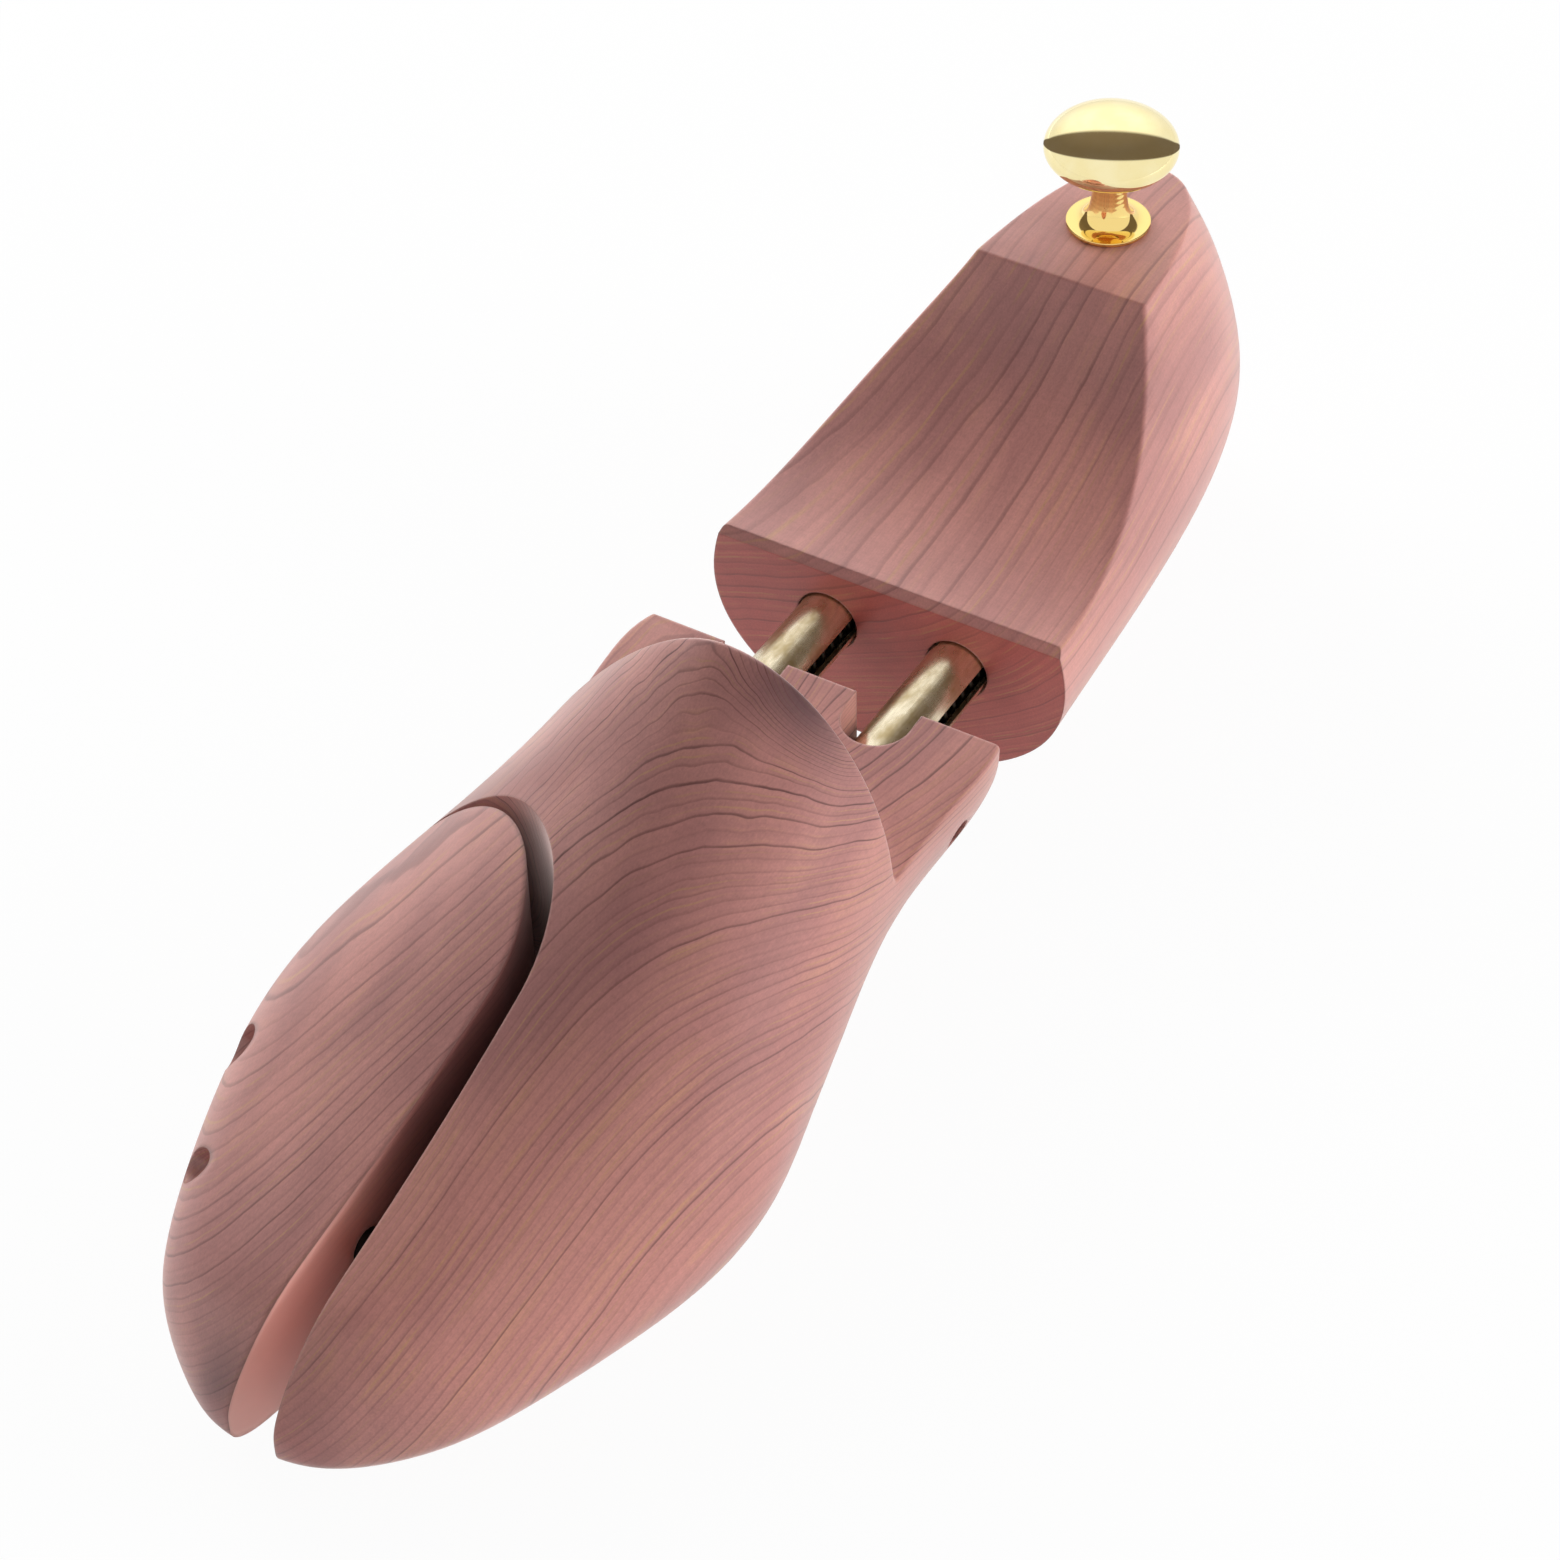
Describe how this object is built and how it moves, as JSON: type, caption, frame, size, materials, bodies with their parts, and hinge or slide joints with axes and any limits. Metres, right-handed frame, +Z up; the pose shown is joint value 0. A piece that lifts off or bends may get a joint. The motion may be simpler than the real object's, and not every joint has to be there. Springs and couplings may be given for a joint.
{
  "type": "shoe tree",
  "caption": "Cedar shoe tree for a right shoe: split toe and instep forepart, heel block with a brass knob, joined by sprung tubes that stretch the shoe.",
  "frame": {"origin": "on the flat sole, midway between the two tubes, directly below the rear wall of the instep", "axes": "+X from heel to toe along the tubes, +Y to the tree's left (the inner side of a right shoe), +Z up"},
  "size_m": [0.2794, 0.0866, 0.0785],
  "materials": {
    "cedar": "sanded red cedar with fine dark rings",
    "tube": "satin champagne brass",
    "knob": "mirror-polished brass",
    "steel": "zinc-plated",
    "spring_steel": "bare spring wire",
    "dark_steel": "blackened steel"
  },
  "bodies": {
    "forepart": {"forepart_main": "cedar", "tube_left": "tube", "tube_right": "tube", "tube_screw_left": "steel", "tube_screw_right": "steel", "guide_pin_front": "dark_steel", "guide_pin_rear": "dark_steel", "toe_screw": "steel", "toe_washer": "steel", "tube_spring_left": "spring_steel", "tube_spring_right": "spring_steel", "toe_spring": "spring_steel"},
    "heel": {"heel_block": "cedar", "knob": "knob", "knob_stud": "steel", "heel_cross_pin": "steel", "pin_plug": "cedar"},
    "toe_side": {"forepart_side": "cedar"}
  },
  "joints": [
    {"name": "heel_slide", "type": "slide", "parent": "forepart", "child": "heel", "axis": [1, 0, 0], "range_m": [0, 0.02], "stiffness_N_per_m": 2000, "springref_m": -0.002, "deforming": ["tube_spring_left", "tube_spring_right"]},
    {"name": "toe_spread", "type": "slide", "parent": "forepart", "child": "toe_side", "axis": [0, 1, 0], "range_m": [0, 0.0036], "stiffness_N_per_m": 1500, "springref_m": -0.001, "deforming": ["toe_spring"]}
  ]
}
